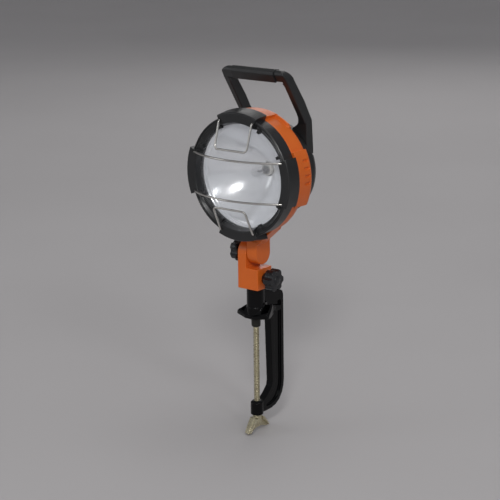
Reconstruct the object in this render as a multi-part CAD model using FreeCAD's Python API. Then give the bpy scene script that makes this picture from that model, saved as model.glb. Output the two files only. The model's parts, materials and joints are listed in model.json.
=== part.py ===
import FreeCAD, Part
import os
import math

# Portable work light on a screw clamp.
# +Z up, the lamp faces -Y, +X is its right side (seen from behind).
# The origin is on the clamp screw's axis, in the plane of the fixed jaw's
# underside, where the clamp bears on a table edge or a shelf. Millimetres.

V = FreeCAD.Vector

# ---------------------------------------------------------------- dimensions
# Heights below are counted from a plane 3.6 under the jaw's underside; every
# piece is lowered by JAW_Z when it is written, so that z = 0 is the underside.
JAW_Z = 3.6
HEAD_Z = 194.5          # height of the lamp's optical axis
TILT_Z = 90.5           # height of the tilt axis (parallel to X)
LUG_R = 14.5            # round end of the tilt lug and of the ear
GAP = 0.3               # gap between faces of different moving bodies
RUN = 0.05              # radial running clearance

RING_R = 78.0           # bezel ring, outside
RING_FRONT = -32.5      # front face of the bezel ring
RING_REAR = -13.6       # joint between bezel and housing
OPEN_R = 67.0           # clear opening of the bezel, at the lens
PAD_R = 82.5            # outside of the four bumper pads, at the front
PAD_RR = 85.2           # the top and bottom pads grow to this at the rear
PAD_FRONT = -35.6       # front face of the pads
PAD_HALF = 22.0         # half width of a pad, degrees about the optical axis
LENS_R = 71.5
LENS_FRONT = -24.7
LENS_T = 3.5
WALL = 2.6              # moulded wall

HOUS_R = 78.6           # orange housing, outside
HOUS_REAR = 19.5        # joint between housing and rear cover
COVER_R = 62.5          # rear cover, outside
COVER_REAR = 57.0       # rear face of the rear cover

WIRE_R = 1.4            # guard wire
WIRE_HOLE_R = 75.0      # radius on which the wires enter the pads
WIRE_DZ = 26.0          # height of the two cross wires above / below the axis
WIRE_BOW = 21.0         # bow of the cross wires

HANDLE_X = 51.8         # handle, half width outside
HANDLE_IN = 43.3        # handle, half width of the hand opening
GRIP_LEN = 68.0

BLOCK_X0, BLOCK_X1 = -17.0, 15.5
BLOCK_Y0, BLOCK_Y1 = -15.4, 14.5
BLOCK_Z0, BLOCK_Z1 = 43.7, 71.5
POST_R = 11.7
SPIGOT_R = 8.0
PAN_Z = 57.6
KNOB_R = 14.8

BAR_X = 5.0             # half width of the clamp bar's flanges
WEB_X = 2.2             # half thickness of its web
SCREW_R = 4.0           # clamp screw, 8 mm with a 2 mm lead
SCREW_TOP = -9.6
SCREW_END = -143.0
JAW_TIP_X = 25.0


# ------------------------------------------------------------------- helpers
def box(x0, x1, y0, y1, z0, z1):
    return Part.makeBox(x1 - x0, y1 - y0, z1 - z0, V(x0, y0, z0))


def cyl(p, d, r, h):
    return Part.makeCylinder(r, h, V(*p), V(*d))


def cyl_x(x0, x1, y, z, r):
    return cyl((x0, y, z), (1, 0, 0), r, x1 - x0)


def cyl_y(y0, y1, x, z, r):
    return cyl((x, y0, z), (0, 1, 0), r, y1 - y0)


def cyl_z(z0, z1, r, x=0.0, y=0.0):
    return cyl((x, y, z0), (0, 0, 1), r, z1 - z0)


def poly(pts):
    return Part.Face(Part.makePolygon([V(*p) for p in pts] + [V(*pts[0])]))


def rev_y(prof, a0=0.0, a1=360.0, x=0.0, z=HEAD_Z):
    """(y, r) outline turned about the line through (x, z) along Y.
    Angles run from +Z towards +X."""
    f = poly([(x, y, z + r) for y, r in prof])
    if a0:
        f.rotate(V(x, 0, z), V(0, 1, 0), a0)
    return f.revolve(V(x, 0, z), V(0, 1, 0), a1 - a0 if a1 - a0 < 360 else 360)


def rev_x(prof, y=0.0, z=TILT_Z):
    f = poly([(x, y, z + r) for x, r in prof])
    return f.revolve(V(0, y, z), V(1, 0, 0), 360)


def rev_z(prof, x=0.0, y=0.0):
    f = poly([(x + r, y, z) for z, r in prof])
    return f.revolve(V(x, y, 0), V(0, 0, 1), 360)


def prism_x(pts, x0, x1):
    return poly([(x0, y, z) for y, z in pts]).extrude(V(x1 - x0, 0, 0))


def prism_y(pts, y0, y1):
    return poly([(x, y0, z) for x, z in pts]).extrude(V(0, y1 - y0, 0))


def prism_z(pts, z0, z1):
    return poly([(x, y, z0) for x, y in pts]).extrude(V(0, 0, z1 - z0))


def fuse(*s):
    r = s[0]
    if len(s) > 1:
        r = s[0].multiFuse(list(s[1:]))
    return r.removeSplitter()


def cut(a, *b):
    r = a
    for t in b:
        r = r.cut(t)
    return r


def common(a, b):
    return a.common(b)


def fillet(s, r, pick):
    """Round the edges for which pick(edge) is true, one try at a time."""
    e = [x for x in s.Edges if pick(x)]
    if not e:
        return s
    try:
        t = s.makeFillet(r, e)
        if t.isValid() and t.Volume > 0:
            return t
    except Exception:
        pass
    out = s
    for k in range(len(e)):
        mid = e[k].valueAt((e[k].FirstParameter + e[k].LastParameter) / 2)
        for x in out.Edges:
            m = x.valueAt((x.FirstParameter + x.LastParameter) / 2)
            if m.distanceToPoint(mid) < 1e-3:
                try:
                    t = out.makeFillet(r, [x])
                    if t.isValid() and t.Volume > 0:
                        out = t
                except Exception:
                    pass
                break
    return out


def arc_pts(cx, cy, r, a0, a1, n):
    return [(cx + r * math.cos(math.radians(a0 + (a1 - a0) * k / n)),
             cy + r * math.sin(math.radians(a0 + (a1 - a0) * k / n)))
            for k in range(n + 1)]


def pipe(pts, r, bend):
    """Round wire: straight runs joined by tangent arcs."""
    P = [V(*p) for p in pts]
    edges, start = [], P[0]
    bends = bend if isinstance(bend, list) else [bend] * (len(P) - 2)
    for k in range(1, len(P) - 1):
        bend = bends[k - 1]
        a = (P[k - 1] - P[k]).normalize()
        b = (P[k + 1] - P[k]).normalize()
        half = math.acos(max(-1, min(1, a.dot(b)))) / 2
        t = bend / math.tan(half)
        p0, p1 = P[k] + a * t, P[k] + b * t
        c = P[k] + (a + b).normalize() * (bend / math.sin(half))
        mid = c + (P[k] - c).normalize() * bend
        edges.append(Part.makeLine(start, p0))
        edges.append(Part.Arc(p0, mid, p1).toShape())
        start = p1
    edges.append(Part.makeLine(start, P[-1]))
    w = Part.Wire(edges)
    d = (P[1] - P[0]).normalize()
    c = Part.Wire([Part.makeCircle(r, P[0], d)])
    return w.makePipeShell([c], True, True)


def star(x0, x1, y, z, r, n, depth, sgn=1, phase=0.0):
    """Star grip: n rounded lobes, axis along X, edges broken."""
    body = cyl_x(x0, x1, y, z, r)
    rn = r * 0.36
    for k in range(n):
        a = math.radians(phase + 360.0 * k / n)
        d = r - depth + rn
        body = body.cut(cyl_x(x0 - 1, x1 + 1, y + d * math.cos(a), z + d * math.sin(a), rn))
    lim = 1.6
    env = rev_x([(x0, 0), (x0, r - lim), (x0 + lim, r + 0.1), (x1 - lim, r + 0.1), (x1, r - lim), (x1, 0)], y, z)
    return body.common(env)


def out(name, shape):
    if isinstance(shape, (list, tuple)):
        solids = []
        for s in shape:
            solids += s.Solids
        shape = Part.makeCompound(solids) if len(solids) > 1 else solids[0]
    else:
        so = shape.Solids
        shape = so[0] if len(so) == 1 else Part.makeCompound(so)
    shape = shape.translated(V(0, 0, -JAW_Z))
    n = len(shape.Solids)
    ok = all(s.isValid() and s.isClosed() and s.Volume > 0 for s in shape.Solids)
    bb = shape.BoundBox
    print("%-24s solids %2d valid %s vol %9.1f  x %.1f..%.1f y %.1f..%.1f z %.1f..%.1f" % (
        name, n, ok, shape.Volume, bb.XMin, bb.XMax, bb.YMin, bb.YMax, bb.ZMin, bb.ZMax))
    shape.exportStep("parts/%s.step" % name)
    return shape


os.makedirs("parts", exist_ok=True)

# =================================================================== CLAMP
# C-frame: round post, fixed jaw with two wings, flanged bar, lower boss.
outer = [(0, 12), (0, 41.2), (12.4, 41.2), (40, 31.6), (46, 30.6), (50.2, 28.2), (52.2, 24.2), (52.6, 19)]
outer += [(52.6, -94), (51.6, -103), (48.2, -112.2), (42.4, -120.0), (34.6, -125.2), (25.5, -127.8), (14, -128.6), (0, -128.6)]
inner = [(0, -114), (8, -112.6), (14.4, -108.8), (20.8, -103.2), (25.8, -97.6), (27.4, -91.5), (26.0, -52), (24.2, -7), (22.2, 0.4), (18.6, 3.0), (14, JAW_Z), (0, JAW_Z)]
frame = prism_x(outer + inner, -BAR_X, BAR_X)
recess = [(34.2, 17), (46.2, 17), (47.0, 14), (47.0, -93), (46.0, -101.5), (43.0, -109.4), (38.0, -115.8), (31.4, -120.0), (24.4, -122.2), (14.2, -122.8),
          (14.2, -117.0), (20.8, -112.2), (28.4, -105.4), (33.4, -98.4), (34.6, -90), (33.4, -52), (32.4, -7), (32.6, 14)]
frame = cut(frame, prism_x(recess, WEB_X, BAR_X + 1), prism_x(recess, -BAR_X - 1, -WEB_X))
# fixed jaw
jaw_front = [(-25.2, 5.4), (-25.2, 8.6), (-24.4, 10.0), (-13.4, 22.6), (-10.4, 24.0), (10.4, 24.0), (13.4, 22.6), (24.4, 10.0), (25.2, 8.6), (25.2, 5.4),
             (14.0, 4.2), (8.0, JAW_Z), (-8.0, JAW_Z), (-14.0, 4.2)]
jaw_plan = [(-25.2, -7.4), (-13, -11.2), (-8, -13.2), (0, -13.9), (8, -13.2), (13, -11.2), (25.2, -7.4), (25.2, -4.6), (20.4, 7.0), (8.8, 29.0), (5.6, 34.5),
            (5.6, 46), (-5.6, 46), (-5.6, 34.5), (-8.8, 29.0), (-20.4, 7.0), (-25.2, -4.6)]
jaw_side = [(-14, 0), (-14, 7.4), (-9.4, 9.4), (-3.6, 16.4), (2.6, 23.4), (11.0, 23.4), (20.0, 16.2), (33, 12.4), (47, 9.0), (47, 0)]
jaw = common(prism_y(jaw_front, -15, 48), prism_z(jaw_plan, -1, 26))
jaw = common(jaw, prism_x(jaw_side, -30, 30))
for s in (-1, 1):
    pk = [(s * 13.6, -8.0), (s * 13.2, 2.0), (s * 10.2, 11.0), (s * 7.4, 15.0), (s * 7.4, 27.0), (s * 9.0, 24.2), (s * 18.4, 5.6), (s * 22.0, -4.0), (s * 21.0, -6.4)]
    if s < 0:
        pk = pk[::-1]
    jaw = cut(jaw, prism_z(pk, 7.2, 30))
post = rev_z([(JAW_Z + 1, 0), (JAW_Z + 1, 12.3), (17.6, 12.3), (18.2, POST_R), (42.8, POST_R), (43.4, POST_R - 0.6), (43.4, SPIGOT_R), (52.6, SPIGOT_R), (53.4, 6.6),
              (61.8, 6.6), (62.6, SPIGOT_R), (68.0, SPIGOT_R), (68.8, SPIGOT_R - 0.8), (68.8, 0)])
boss = rev_z([(-130.2, 0), (-130.2, 7.5), (-129.4, 8.4), (-113.6, 8.4), (-110.9, 5.8), (-110.9, 0)])
clamp = fuse(frame, jaw, post, boss)
clamp = cut(clamp, cyl_z(-131, -110, SCREW_R + RUN))

out("clamp_frame", clamp)

# ------------------------------------------------------------ pressure foot
FOOT_DROP = 2.1         # the screw stops turning up this far under the jaw
FT = JAW_Z - FOOT_DROP
foot = rev_z([(FT, 0), (FT, 6.0), (FT - 0.5, 6.4), (FT - 2.4, 6.4), (FT - 2.8, 6.1), (-8.4, 5.9), (-9.3, 5.2), (-9.3, 2.6 + RUN), (-1.2, 2.6 + RUN), (-0.4, 0)])
foot = cut(foot, rev_z([(-6.9, 0), (-6.9, 4.3), (-6.1, 4.3), (-6.1, 0)]))
out("pressure_foot", foot)
clip = rev_z([(-6.9, 1.95 + RUN), (-6.9, 4.3), (-6.1, 4.3), (-6.1, 1.95 + RUN)])
clip = cut(clip, box(-0.9, 0.9, 0, 5, -8, -5))
out("foot_clip", clip)

# -------------------------------------------------------------- clamp screw
screw = rev_z([(-1.6, 0), (-1.6, 1.6), (-2.6, 2.6), (-5.9, 2.6), (-5.9, 1.95), (-7.1, 1.95), (-7.1, 2.6), (SCREW_TOP, 2.6), (SCREW_TOP, 3.4), (SCREW_TOP - 0.6, SCREW_R),
               (SCREW_END + 0.8, SCREW_R), (SCREW_END, SCREW_R - 0.8), (SCREW_END, 0)])
hub_z0, hub_z1 = -142.2, -130.7
pin_z = -136.6
screw = cut(screw, cyl((0, -8, pin_z), (0, 1, 0), 1.25, 16))
out("clamp_screw", screw)
ws = [(22.4, -148.4), (23.4, -151.0), (22.0, -152.2), (18.0, -151.6), (12.0, -149.6), (6.0, -147.8)]
wt = [(5.6, -131.2), (8.4, -133.6), (13.2, -138.2), (18.4, -143.6)]
wing_side = wt + ws + [(-y, z) for y, z in ws[::-1]] + [(-y, z) for y, z in wt[::-1]]
wing = prism_x(wing_side, -1.7, 1.7)
plate = [(5.0, -133.2), (8.0, -134.6), (12.8, -139.2), (18.0, -144.6), (21.6, -149.0), (22.0, -151.0), (20.6, -150.6), (16.8, -146.4), (12.2, -142.0), (7.2, -138.8), (5.0, -138.4)]
blade_plan = [(-6.3, -7), (-4.5, -24), (4.5, -24), (6.3, -7), (6.3, 7), (4.5, 24), (-4.5, 24), (-6.3, 7)]
blades = []
for s in (1, -1):
    pts = [(s * y, z) for y, z in plate]
    if s < 0:
        pts = pts[::-1]
    blades.append(common(prism_x(pts, -7, 7), prism_z(blade_plan, -156, -128)))
wing = fuse(wing, *blades)
wing.rotate(V(0, 0, 0), V(0, 0, 1), 4.5)
wing = fuse(wing, rev_z([(hub_z0, 0), (hub_z0, 5.4), (hub_z0 + 0.6, 6.0), (hub_z1 - 0.6, 6.0), (hub_z1, 5.4), (hub_z1, 0)]))
wing = cut(wing, cyl_z(hub_z0 - 1, hub_z1 + 1, SCREW_R), cyl((0, -8, pin_z), (0, 1, 0), 1.25, 16))
out("wing_handle", wing)
out("wing_pin", cyl((0, -6.6, pin_z), (0, 1, 0), 1.25, 13.2))

# ============================================================ SWIVEL BLOCK
ear_x0, ear_x1 = BLOCK_X0, -3.5
cr = 1.3
plan = (arc_pts(BLOCK_X1 - cr, BLOCK_Y1 - cr, cr, 0, 90, 4) + arc_pts(BLOCK_X0 + cr, BLOCK_Y1 - cr, cr, 90, 180, 4)
        + arc_pts(BLOCK_X0 + cr, BLOCK_Y0 + cr, cr, 180, 270, 4) + arc_pts(BLOCK_X1 - cr, BLOCK_Y0 + cr, cr, 270, 360, 4))
block = prism_z(plan, BLOCK_Z0, BLOCK_Z1)
ear = fuse(common(prism_z(plan, BLOCK_Z0, TILT_Z), box(ear_x0 - 1, ear_x1, -30, 30, BLOCK_Z1 - 3, TILT_Z)),
           cyl_x(ear_x0, ear_x1, 0, TILT_Z, LUG_R))
block = fuse(block, ear)
# saddle under the lug, so that the lug swings clear
block = cut(block, cyl_x(ear_x1, BLOCK_X1 + 1, 0, TILT_Z, LUG_R + 4.0))
block = cut(block, cyl_z(BLOCK_Z0 - 1, 70.2, SPIGOT_R + RUN))
nut_pocket = Part.Face(Part.makePolygon([V(10.2, 5.0 * math.cos(math.radians(60 * k + 30)) / math.cos(math.radians(30)),
                                           PAN_Z + 5.0 * math.sin(math.radians(60 * k + 30)) / math.cos(math.radians(30))) for k in range(7)])).extrude(V(4.6, 0, 0))
block = cut(block, nut_pocket, cyl_x(6, BLOCK_X1 + 1, 0, PAN_Z, 3.15), cyl_x(ear_x0 - 1, ear_x1 + 1, 0, TILT_Z, 3.15))
out("swivel_block", block)
out("pan_nut", cut(nut_pocket, cyl_x(9, 16, 0, PAN_Z, 3.05)))
out("tilt_washer", cut(cyl_x(ear_x1, -2.4, 0, TILT_Z, 11.0), cyl_x(-5, 0, 0, TILT_Z, 3.15)))

# pan lock knob (clamps the post), on the +X face
pk_body = star(22.4, 35.6, 0, PAN_Z, KNOB_R, 6, 3.6, phase=30)
pk_hub = rev_x([(BLOCK_X1 + GAP, 3.0), (BLOCK_X1 + GAP, 7.4), (21.0, 8.6), (22.6, 9.4), (22.6, 3.0)], 0, PAN_Z)
pk_cap = rev_x([(35.0, 0), (35.0, 6.4), (36.3, 5.6), (36.9, 3.0), (36.9, 0)], 0, PAN_Z)
pan_knob = fuse(pk_body, pk_hub, pk_cap)
pan_knob = cut(pan_knob, cyl_x(10, 31.0, 0, PAN_Z, 3.0))
out("pan_knob", pan_knob)
out("pan_stud", rev_x([(6.95, 0), (6.95, 2.2), (7.75, 3.0), (31.0, 3.0), (31.0, 0)], 0, PAN_Z))

# tilt knob, on the -X side of the ear
tk_body = star(-31.0, -20.4, 0, TILT_Z, KNOB_R + 0.7, 6, 3.6, phase=0)
tk_hub = rev_x([(BLOCK_X0 - GAP, 3.0), (BLOCK_X0 - GAP, 8.2), (-18.9, 8.6), (-20.8, 9.4), (-20.8, 3.0)])
tk_cap = rev_x([(-30.6, 0), (-30.6, 6.4), (-31.8, 5.6), (-32.3, 3.0), (-32.3, 0)])
tilt_knob = fuse(tk_body, tk_hub, tk_cap)
tilt_knob = cut(tilt_knob, cyl_x(-28.0, -10, 0, TILT_Z, 3.0))
out("tilt_knob", tilt_knob)
out("tilt_stud", rev_x([(-28.0, 0), (-28.0, 3.0), (8.6, 3.0), (9.4, 2.2), (9.4, 0)]))

# ==================================================================== HEAD
# ---- bezel: ring, four bumper pads, small tabs
# a narrow crest, a groove, an inward cone and a step down to the lens
ring = rev_y([(RING_FRONT, 76.0), (RING_FRONT, RING_R - 1.1), (RING_FRONT + 1.0, RING_R), (RING_REAR, RING_R), (RING_REAR, 73.0), (LENS_FRONT, 73.0),
              (LENS_FRONT, OPEN_R), (-26.0, OPEN_R), (-26.2, 68.2), (-28.2, 68.7), (-28.4, 70.2), (-31.9, 74.2), (-31.9, 74.7), (-31.1, 74.7), (-31.1, 76.0)])
pads = []
for k in range(4):
    c = 90.0 * k
    rr = PAD_RR if k % 2 == 0 else PAD_R
    pads.append(rev_y([(PAD_FRONT, 70.0), (PAD_FRONT, PAD_R - 1.2), (PAD_FRONT + 1.2, PAD_R), (RING_REAR, rr), (RING_REAR, 73.6),
                       (-25.4, 73.6), (-25.4, OPEN_R - 0.4), (-27.0, OPEN_R - 0.2), (-34.8, 69.2)], c - PAD_HALF, c + PAD_HALF))
    for s in (-1, 1):
        pads.append(rev_y([(-30.6, OPEN_R - 1.6), (-30.6, 71.5), (-25.4, 71.5), (-25.4, OPEN_R - 2.0)], c + s * (PAD_HALF + 5.0) - 1.7, c + s * (PAD_HALF + 5.0) + 1.7))
bezel = fuse(ring, *pads)
# guard wires: ends bent square into sockets in the pads
wire_x = math.sqrt(WIRE_HOLE_R ** 2 - WIRE_DZ ** 2)
WIRE_END = -29.6


def cross_wire(dz, r, end=WIRE_END):
    th, rb, ya = math.radians(33.0), 3.0, -33.0
    n = V(math.sin(th), -math.cos(th), 0)
    z = HEAD_Z + dz
    c = V(wire_x - rb, ya, z)
    p1 = V(wire_x, ya, z)
    m1 = c + V(math.cos(math.radians(28.5)), -math.sin(math.radians(28.5)), 0) * rb
    p2 = c + n * rb
    big = p2.x / n.x
    cy = p2.y - big * n.y
    apex = V(0, cy - big, z)

    def mir(p):
        return V(-p.x, p.y, p.z)

    p0 = V(wire_x, end, z)
    w = Part.Wire([Part.makeLine(p0, p1), Part.Arc(p1, m1, p2).toShape(), Part.Arc(p2, apex, mir(p2)).toShape(),
                   Part.Arc(mir(p2), mir(m1), mir(p1)).toShape(), Part.makeLine(mir(p1), mir(p0))])
    return w.makePipeShell([Part.Wire([Part.makeCircle(r, p0, V(0, -1, 0))])], True, True)


def loop_wire(s, y, dz, r, end=WIRE_END):
    zt_, zc = HEAD_Z + s * wire_x, HEAD_Z + s * dz
    return pipe([(-WIRE_DZ, end, zt_), (-WIRE_DZ, -37.2, zt_), (-WIRE_DZ + 0.5, y, zc), (WIRE_DZ - 0.5, y, zc), (WIRE_DZ, -37.2, zt_), (WIRE_DZ, end, zt_)], r, [2.6, 5.5, 5.5, 2.6])


WIRES = [("guard_wire_upper", cross_wire, (WIRE_DZ - 0.6,)), ("guard_wire_lower", cross_wire, (-WIRE_DZ,)),
         ("guard_loop_top", loop_wire, (1, -47.5, 36.0)), ("guard_loop_bottom", loop_wire, (-1, -52.5, 38.2))]
for _n, _f, _a in WIRES:
    bezel = cut(bezel, _f(*_a, WIRE_R + 0.35, WIRE_END + 0.3))
screw_pos = [(77.4 * math.sin(math.radians(a)), HEAD_Z + 77.4 * math.cos(math.radians(a))) for a in (0, 90, 180, 270)]
bezel = cut(bezel, *[cyl_y(-27.0, RING_REAR + 1, x, z, 1.7) for x, z in screw_pos])
out("front_bezel", bezel)

# ---- guard wires
for _n, _f, _a in WIRES:
    out(_n, _f(*_a, WIRE_R))

# ---- lens, gasket
out("lens", rev_y([(LENS_FRONT, 0), (LENS_FRONT, LENS_R - 0.6), (LENS_FRONT + 0.6, LENS_R), (LENS_FRONT + LENS_T, LENS_R), (LENS_FRONT + LENS_T, 0)]))
g0 = LENS_FRONT + LENS_T
out("lens_gasket", rev_y([(g0, 67.6), (g0, 72.2), (g0 + 1.8, 72.2), (g0 + 1.8, 67.6)]))
# ---- reflector: flange, short straight rim, parabolic bowl, neck
f0 = g0 + 1.8
foc = 24.0
yv = -13.0 + 64.4 ** 2 / (4 * foc)
NECK_R = 9.2
inner_b = [(f0, 66.0), (-14.6, 66.0), (-14.2, 64.8)]
for k in range(1, 15):
    r = 64.4 - (64.4 - NECK_R) * k / 14.0
    inner_b.append((yv - r * r / (4 * foc), r))
neck_y = inner_b[-1][0]
outer_b = [(neck_y + 8.0, NECK_R), (neck_y + 8.0, NECK_R + 1.2)]
for k in range(15):
    r = NECK_R + 1.4 + (65.6 - NECK_R - 1.4) * k / 14.0
    outer_b.append((yv + 1.25 - r * r / (4 * foc) * 0.985, r + 0.2))
outer_b += [(-13.2, 67.2), (f0 + 1.2, 67.2), (f0 + 1.2, 71.8), (f0, 71.8)]
out("reflector", rev_y(inner_b + outer_b))
sock_y = neck_y + 8.0
print("reflector neck y", neck_y, "socket from", sock_y)

# ---- main housing: cone-shouldered shell, side bosses, lower neck and lug
h0 = f0 + 1.2
up_prof = [(h0, 68.0), (h0, 72.7), (RING_REAR, 72.7), (RING_REAR, RING_R - 0.2), (6.0, HOUS_R), (11.5, HOUS_R - 0.5), (15.0, 76.0), (17.4, 72.4), (19.0, 66.8), (HOUS_REAR, 60.6),
           (HOUS_REAR, 57.0), (HOUS_REAR - 2.6, 57.0), (16.4, 64.6), (14.6, 70.6), (12.2, 74.0), (8.0, 75.6), (h0 + 5.2, 75.0), (h0 + 2.4, 70.2), (h0 + 2.4, 68.0)]
lo_prof = [(h0, 68.0), (h0, 72.7), (RING_REAR, 72.7), (RING_REAR, RING_R - 0.2), (-4.0, HOUS_R - 0.3), (1.0, 77.4), (6.0, 75.2), (11.0, 71.4), (16.0, 66.0), (HOUS_REAR, 60.6),
           (HOUS_REAR, 57.0), (HOUS_REAR - 2.6, 57.0), (13.4, 63.6), (8.8, 68.8), (4.4, 72.3), (0.0, 74.4), (-5.0, 75.6), (h0 + 5.2, 75.0), (h0 + 2.4, 70.2), (h0 + 2.4, 68.0)]
hous = fuse(rev_y(up_prof, -114.0, 114.0), rev_y(lo_prof, 114.0, 246.0))
bosses = []
for c, w0, w1, rr in ((0.0, 21.0, 21.0, 82.3), (90.0, 27.0, 24.5, 82.2), (270.0, 24.5, 27.0, 82.2)):
    bosses.append(rev_y([(RING_REAR, 75.6), (RING_REAR, rr - 0.4), (9.5, rr + 0.1), (12.8, rr - 0.9), (14.6, 79.0), (14.8, 75.6)], c - w0, c + w1))
# raised rim on the shoulder beside the top boss
for c0, c1, dr in ((20.0, 36.5, 0.0), (-36.5, -20.0, 0.0), (36.4, 38.6, 1.3), (-38.6, -36.4, 1.3)):
    bosses.append(rev_y([(7.6, 76.5), (8.4, 81.0 - dr), (9.4, 81.8 - dr), (12.6, 81.0 - dr), (14.4, 78.4), (14.8, 75.6)], c0, c1))
# shallow louvres across the side bosses
louvres = []
for dz in (24.0, 14.5, 5.0, -4.5):
    x0 = math.sqrt(82.3 ** 2 - dz ** 2) - 1.8
    for a, b in ((x0, 92.0), (-92.0, -x0)):
        louvres.append(box(a, b, -1.6, 9.0, HEAD_Z + dz - 1.5, HEAD_Z + dz + 1.5))
bosses = [cut(b, *louvres) if k in (1, 2) else b for k, b in enumerate(bosses)]
# bottom: broad neck that runs into the tilt lug
neck = fuse(box(-13.2, 13.2, RING_REAR, 13.0, 104.6, 122.5))
LUG_X0, LUG_X1 = -2.1, 13.2
lug = fuse(box(LUG_X0, LUG_X1, -LUG_R, LUG_R, TILT_Z, 108), cyl_x(LUG_X0, LUG_X1, 0, TILT_Z, LUG_R))
neck = cut(neck, box(-17, LUG_X0, -20, 20, 90, TILT_Z + LUG_R + 1.8))
lug = cut(lug, box(LUG_X0 - 1, LUG_X1 + 1, -LUG_R - 1, RING_REAR, 111.0, 122))
shell_in = fuse(rev_y([(RING_REAR - 4, 0), (RING_REAR - 4, 75.2), (8.0, 75.6), (12.2, 74.0), (14.6, 70.6), (16.4, 64.6), (16.9, 0)], -114.0, 114.0),
                rev_y([(RING_REAR - 4, 0), (RING_REAR - 4, 75.2), (-5.0, 75.6), (0.0, 74.4), (4.4, 72.3), (8.8, 68.8), (13.4, 63.6), (16.9, 0)], 114.0, 246.0))
add = fuse(*(bosses + [neck, lug]))
add = cut(add, shell_in)
flare = []
for s in (-1, 1):
    zf = 103.4 if s > 0 else TILT_Z + LUG_R + 2.2
    pts = [(s * 13.2, zf), (s * 13.2, 121.0), (s * 38.0, 130.0), (s * 38.0, 126.0)]
    if s < 0:
        pts = pts[::-1]
    flare.append(cut(prism_y(pts, RING_REAR, 6.0), shell_in))
hous = fuse(hous, add, *flare)
hous = cut(hous, *[cyl_y(RING_REAR - 1, 20, x, z, 1.7) for x, z in screw_pos[:2] + screw_pos[3:]])
for x, z in screw_pos[:2] + screw_pos[3:]:
    hous = cut(hous, cyl_y(8.0, 20, x, z, 3.3))
xb, zb = screw_pos[2]
hous = cut(hous, cyl_y(RING_REAR - 1, 20, xb, zb, 1.7), cyl_y(8.0, 20, xb, zb, 3.3))
insert_hex = [V(3.0, 5.6 * math.cos(math.radians(60 * k)), TILT_Z + 5.6 * math.sin(math.radians(60 * k))) for k in range(7)]
t_nut = Part.Face(Part.makePolygon(insert_hex)).extrude(V(5.2, 0, 0))
hous = cut(hous, t_nut, cyl_x(LUG_X0 - 1, 10.2, 0, TILT_Z, 3.15))
out("tilt_nut", cut(t_nut, cyl_x(0, 12, 0, TILT_Z, 3.05)))

bz = []
for x, z in screw_pos:
    bz.append(fuse(cyl_y(-26.0, 8.0, x, z, 1.7), cyl_y(8.0, 10.4, x, z, 2.9)))
bz = [cut(b, box(b.BoundBox.Center.x - 2.2, b.BoundBox.Center.x + 2.2, 9.4, 11, b.BoundBox.Center.z - 0.4, b.BoundBox.Center.z + 0.4),
          box(b.BoundBox.Center.x - 0.4, b.BoundBox.Center.x + 0.4, 9.4, 11, b.BoundBox.Center.z - 2.2, b.BoundBox.Center.z + 2.2)) for b in bz]
out("bezel_screws", bz)

# lugs inside the housing for the rear cover's screws
CS = [(36.0 * i, HEAD_Z + 40.0 * j) for i in (-1, 1) for j in (-1, 1)]
GK = 1.0                # rear gasket
CY0 = HOUS_REAR + GK

# ---- rear cover: round pan with vent slots
cov_out = [(CY0, 0), (CY0, COVER_R + 1.0), (24.0, COVER_R + 1.0), (26.0, COVER_R), (46.0, COVER_R - 0.8), (51.4, 59.6), (55.2, 54.8), (COVER_REAR, 47.0), (COVER_REAR, 0)]
cov_in = [(CY0 - 1, 0), (CY0 - 1, COVER_R - 2.4), (46.0, COVER_R - 3.4), (49.6, 57.2), (52.8, 52.8), (COVER_REAR - 2.6, 46.0), (COVER_REAR - 2.6, 0)]
cov_solid = rev_y(cov_out)
cover = cut(cov_solid, rev_y(cov_in))
pillar = [cyl_y(CY0, COVER_REAR - 1.5, x, z, 4.6) for x, z in CS]
HS = [(47.6 * i, 222.0) for i in (-1, 1)]
pillar += [cyl_y(24.0, 42.4, x, z, 5.6) for x, z in HS]
cover = fuse(cover, *[common(p, cov_solid) for p in pillar])

# ---- handle: side profile x front outline
bar_top = [(-2.2, 322.6), (-1.4, 326.0), (2.4, 328.2), (8.6, 327.4), (13.0, 323.4)]
side = [(42.4, 216), (42.4, 228), (41.6, 255.5)] + bar_top + [(16.4, 318.8), (40.3, 285.7), (54.2, 262.0), (57.0, 222), (57.0, 216)]
o_r, i_r, fr = 15.0, 7.0, 22.0
zt = 329.0
oc = arc_pts(HANDLE_X - o_r, zt - o_r, o_r, 0, 90, 10)
ic = arc_pts(HANDLE_IN - i_r, 313.4 - i_r, i_r, 0, 90, 6)
fc = arc_pts(HANDLE_IN - fr, 247.6 + fr, fr, 270, 360, 8)
outline = [(HANDLE_X, 206.0)] + oc + [(-x, z) for x, z in oc[::-1]] + [(-HANDLE_X, 206.0)]
opening = fc + ic + [(-x, z) for x, z in ic[::-1]] + [(-x, z) for x, z in fc[::-1]]
handle = common(prism_x(side, -60, 60), prism_y(outline, -20, 70))
handle = cut(handle, prism_y(opening, -20, 70))
handle = cut(handle, prism_x([(2.9, 313.0), (23.0, 325.2), (26.0, 300.0)], -HANDLE_IN + 0.01, HANDLE_IN - 0.01))
mid = box(-HANDLE_IN, HANDLE_IN, 30, 70, 200, 275)
handle = cut(handle, common(cov_solid, mid), box(-HANDLE_IN, HANDLE_IN, 30, 70, 200, 239.0))


def long_edge(e):
    b = e.BoundBox
    return e.Length > 20 and b.XLength < 0.5 and b.ZLength > 15


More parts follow.
